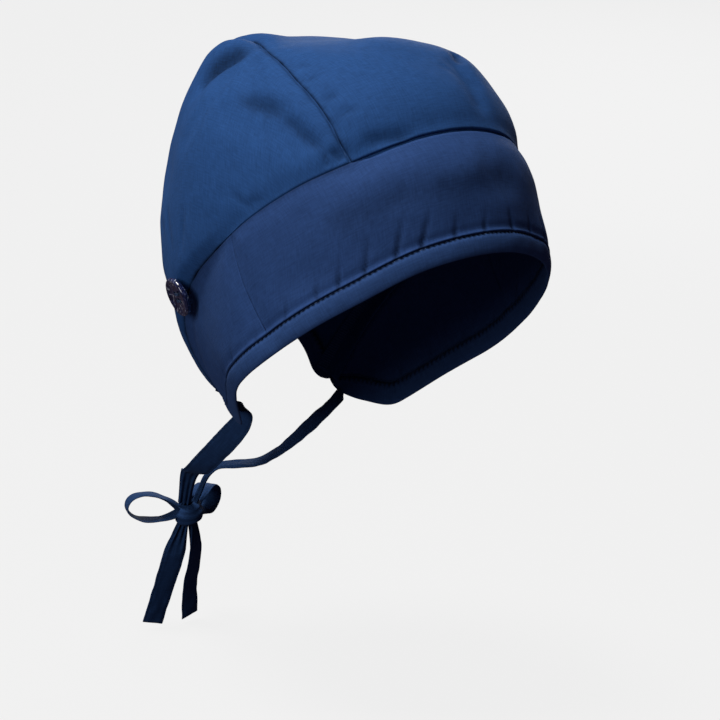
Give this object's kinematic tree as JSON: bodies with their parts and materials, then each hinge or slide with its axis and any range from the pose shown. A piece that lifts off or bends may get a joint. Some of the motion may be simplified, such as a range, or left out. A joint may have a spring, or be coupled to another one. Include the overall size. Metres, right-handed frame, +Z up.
{
  "type": "scrub cap",
  "caption": "Tie-back fabric scrub cap with a panelled crown, turned-up band, folded hem, nape opening, mask-loop buttons and a bow, in its worn shape.",
  "frame": {"origin": "inside of the crown's top, where the cap sits on a head", "axes": "+Z up, front of the cap at -Y, wearer's right at -X"},
  "size_m": [0.1696, 0.227, 0.3231],
  "materials": {
    "crown_cloth": "navy poplin, soft sheen",
    "band_cloth": "navy poplin, soft sheen",
    "hem_cloth": "navy poplin, folded and topstitched",
    "tie_cloth": "navy poplin",
    "button": "dark navy, polished, faintly marbled"
  },
  "bodies": {
    "root": {"crown_top": "crown_cloth", "crown_side_right": "crown_cloth", "crown_side_left": "crown_cloth", "front_band": "band_cloth", "side_band_right": "band_cloth", "side_band_left": "band_cloth", "brow_hem": "hem_cloth", "nape_hem": "hem_cloth", "button_right": "button", "button_left": "button", "tie_right": "tie_cloth", "tie_left": "tie_cloth", "bow_knot": "tie_cloth", "bow_loop_right": "tie_cloth", "bow_loop_left": "tie_cloth", "tail_right": "tie_cloth", "tail_left": "tie_cloth"}
  },
  "joints": []
}
